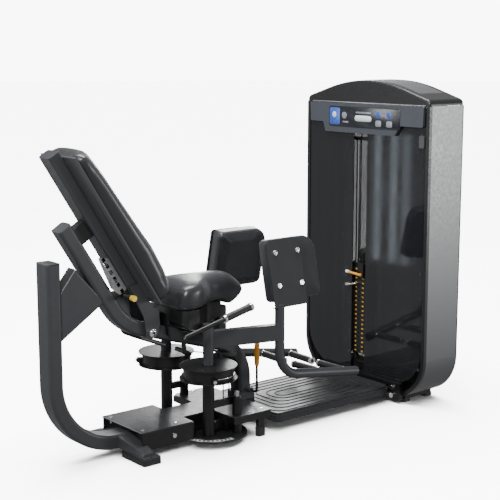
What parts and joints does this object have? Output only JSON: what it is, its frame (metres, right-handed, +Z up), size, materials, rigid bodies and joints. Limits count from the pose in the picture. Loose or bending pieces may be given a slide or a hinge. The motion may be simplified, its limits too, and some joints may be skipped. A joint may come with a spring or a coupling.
{
  "type": "hip abductor machine",
  "caption": "Seated hip abductor machine: padded knee arms swing outward on vertical pivots and pull cables that lift a plate stack in a shrouded tower.",
  "frame": {"origin": "on the floor under the middle of the machine's bounding box", "axes": "+X from the backrest towards the weight tower, +Y to the user's left, +Z up"},
  "size_m": [2.096, 0.86, 1.6],
  "materials": {
    "frame_paint": "satin charcoal powder coat",
    "deck_paint": "satin charcoal powder coat",
    "index_paint": "satin powder coat with a light scale ring",
    "ribbed_rubber": "ribbed",
    "rubber": "matte",
    "grip_rubber": "fine matte",
    "upholstery": "black vinyl with soft sheen",
    "black_plastic": "fine texture",
    "chrome": "polished",
    "steel": "ground",
    "orange_plastic": "smooth",
    "yellow_plastic": "smooth",
    "scale_silver": "brushed",
    "pulley_nylon": "moulded",
    "cable_jacket": "smooth",
    "shell_paint": "satin silver grey",
    "smoked_shield": "smoked",
    "placard_plastic": "satin",
    "plate_paint": "black"
  },
  "bodies": {
    "root": {"rear_frame": "frame_paint", "frame_brace": "frame_paint", "seat_frame": "frame_paint", "platform_plate": "deck_paint", "platform_base": "frame_paint", "rubber_feet": "rubber", "step_frame": "deck_paint", "step_mat": "ribbed_rubber", "pivot_shafts": "steel", "pivot_posts": "frame_paint", "index_plates": "index_paint", "handle_tubes": "frame_paint", "handle_grips": "grip_rubber", "seat_pad": "upholstery", "seat_pan": "black_plastic", "seat_support": "frame_paint", "drum_cables": "cable_jacket", "tower_shell": "shell_paint", "shell_trim": "black_plastic", "tower_cap": "black_plastic", "front_shields": "smoked_shield", "rear_shield": "smoked_shield", "placard": "placard_plastic", "tower_frame": "frame_paint", "guide_rods": "chrome", "caps_and_bumpers": "rubber", "weight_plates": "plate_paint", "frame_fasteners": "chrome", "stack_cable": "cable_jacket"},
    "back_rest": {"back_carrier": "frame_paint", "back_board": "black_plastic", "back_pad": "upholstery", "recline_scale": "scale_silver"},
    "recline_knob": {"recline_knob": "yellow_plastic"},
    "right_arm": {"arm_right": "frame_paint", "foot_grips_right": "grip_rubber", "drum_right": "frame_paint", "knee_plate_right": "frame_paint", "knee_pad_right": "upholstery", "fittings_right": "chrome"},
    "left_arm": {"arm_left": "frame_paint", "foot_grips_left": "grip_rubber", "drum_left": "frame_paint", "knee_plate_left": "frame_paint", "knee_pad_left": "upholstery", "fittings_left": "chrome"},
    "range_lever": {"lever_rod": "steel", "lever_grip": "orange_plastic"},
    "range_pin_right": {"range_pin_right": "steel"},
    "range_pin_left": {"range_pin_left": "steel"},
    "lifted_stack": {"lifted_plates": "plate_paint", "stack_head": "frame_paint", "head_pulley": "pulley_nylon"},
    "selector_pin": {"selector_pin": "chrome"},
    "increment_lever": {"increment_lever": "orange_plastic"},
    "turning_pulley_right": {"turning_pulley_right": "pulley_nylon"},
    "turning_pulley_left": {"turning_pulley_left": "pulley_nylon"},
    "deck_pulleys": {"deck_pulleys": "pulley_nylon"},
    "base_pulleys": {"base_pulleys": "pulley_nylon"},
    "top_pulleys": {"top_pulleys": "pulley_nylon"}
  },
  "joints": [
    {"name": "right_arm_swing", "type": "hinge", "parent": "root", "child": "right_arm", "pos_m": [-0.312, -0.162, 0.482], "axis": [0, 0, -1], "range_deg": [0, 45]},
    {"name": "left_arm_swing", "type": "hinge", "parent": "root", "child": "left_arm", "pos_m": [-0.312, 0.162, 0.482], "axis": [0, 0, 1], "range_deg": [0, 45]},
    {"name": "stack_lift", "type": "slide", "parent": "root", "child": "lifted_stack", "axis": [0, 0, 1], "range_m": [0, 0.0925], "deforming": ["stack_cable"]},
    {"name": "back_recline", "type": "hinge", "parent": "root", "child": "back_rest", "pos_m": [-0.54, 0, 0.527], "axis": [0, 1, 0], "range_deg": [0, 10]},
    {"name": "recline_knob_pull", "type": "slide", "parent": "root", "child": "recline_knob", "axis": [0, -1, 0], "range_m": [0, 0.015], "stiffness_N_per_m": 400, "springref_m": -0.006},
    {"name": "range_lever_pull", "type": "hinge", "parent": "root", "child": "range_lever", "pos_m": [0.02, -0.05, 0.164], "axis": [0, -1, 0], "range_deg": [0, 12], "stiffness_Nm_per_rad": 6, "springref_deg": -6.88},
    {"name": "range_pin_right_lift", "type": "slide", "parent": "root", "child": "range_pin_right", "axis": [0, 0, 1], "range_m": [0, 0.0125]},
    {"name": "range_pin_left_lift", "type": "slide", "parent": "root", "child": "range_pin_left", "axis": [0, 0, 1], "range_m": [0, 0.0125]},
    {"name": "selector_pin_pull", "type": "slide", "parent": "lifted_stack", "child": "selector_pin", "axis": [-1, 0, 0], "range_m": [0, 0.06]},
    {"name": "increment_lever_turn", "type": "hinge", "parent": "lifted_stack", "child": "increment_lever", "pos_m": [0.81, 0.026, 0.611], "axis": [1, 0, 0], "range_deg": [0, 60]},
    {"name": "turning_pulley_right_spin", "type": "hinge", "parent": "root", "child": "turning_pulley_right", "pos_m": [-0.1, -0.046, 0.311], "axis": [0.8447, -0.5352, 0], "continuous": true},
    {"name": "turning_pulley_left_spin", "type": "hinge", "parent": "root", "child": "turning_pulley_left", "pos_m": [-0.1, 0.046, 0.311], "axis": [-0.8447, -0.5352, 0], "continuous": true},
    {"name": "deck_pulleys_spin", "type": "hinge", "parent": "root", "child": "deck_pulleys", "pos_m": [-0.057, 0, 0.052], "axis": [0, 1, 0], "continuous": true},
    {"name": "base_pulleys_spin", "type": "hinge", "parent": "root", "child": "base_pulleys", "pos_m": [0.905, 0, 0.069], "axis": [0, 1, 0], "continuous": true},
    {"name": "top_pulleys_spin", "type": "hinge", "parent": "root", "child": "top_pulleys", "pos_m": [0.905, 0.05, 1.385], "axis": [0, 1, 0], "continuous": true}
  ],
  "couplings": [
    {"joint": "left_arm_swing", "follows": "right_arm_swing", "ratio": 1},
    {"joint": "stack_lift", "follows": "right_arm_swing", "m_per_rad": 0.117},
    {"joint": "turning_pulley_right_spin", "follows": "right_arm_swing", "ratio": 4.1786},
    {"joint": "turning_pulley_left_spin", "follows": "right_arm_swing", "ratio": 4.1786},
    {"joint": "deck_pulleys_spin", "follows": "right_arm_swing", "ratio": 4.1786},
    {"joint": "base_pulleys_spin", "follows": "right_arm_swing", "ratio": 2.6},
    {"joint": "top_pulleys_spin", "follows": "right_arm_swing", "ratio": 2.6},
    {"joint": "range_pin_right_lift", "follows": "range_lever_pull", "m_per_rad": 0.0573},
    {"joint": "range_pin_left_lift", "follows": "range_lever_pull", "m_per_rad": 0.0573}
  ]
}
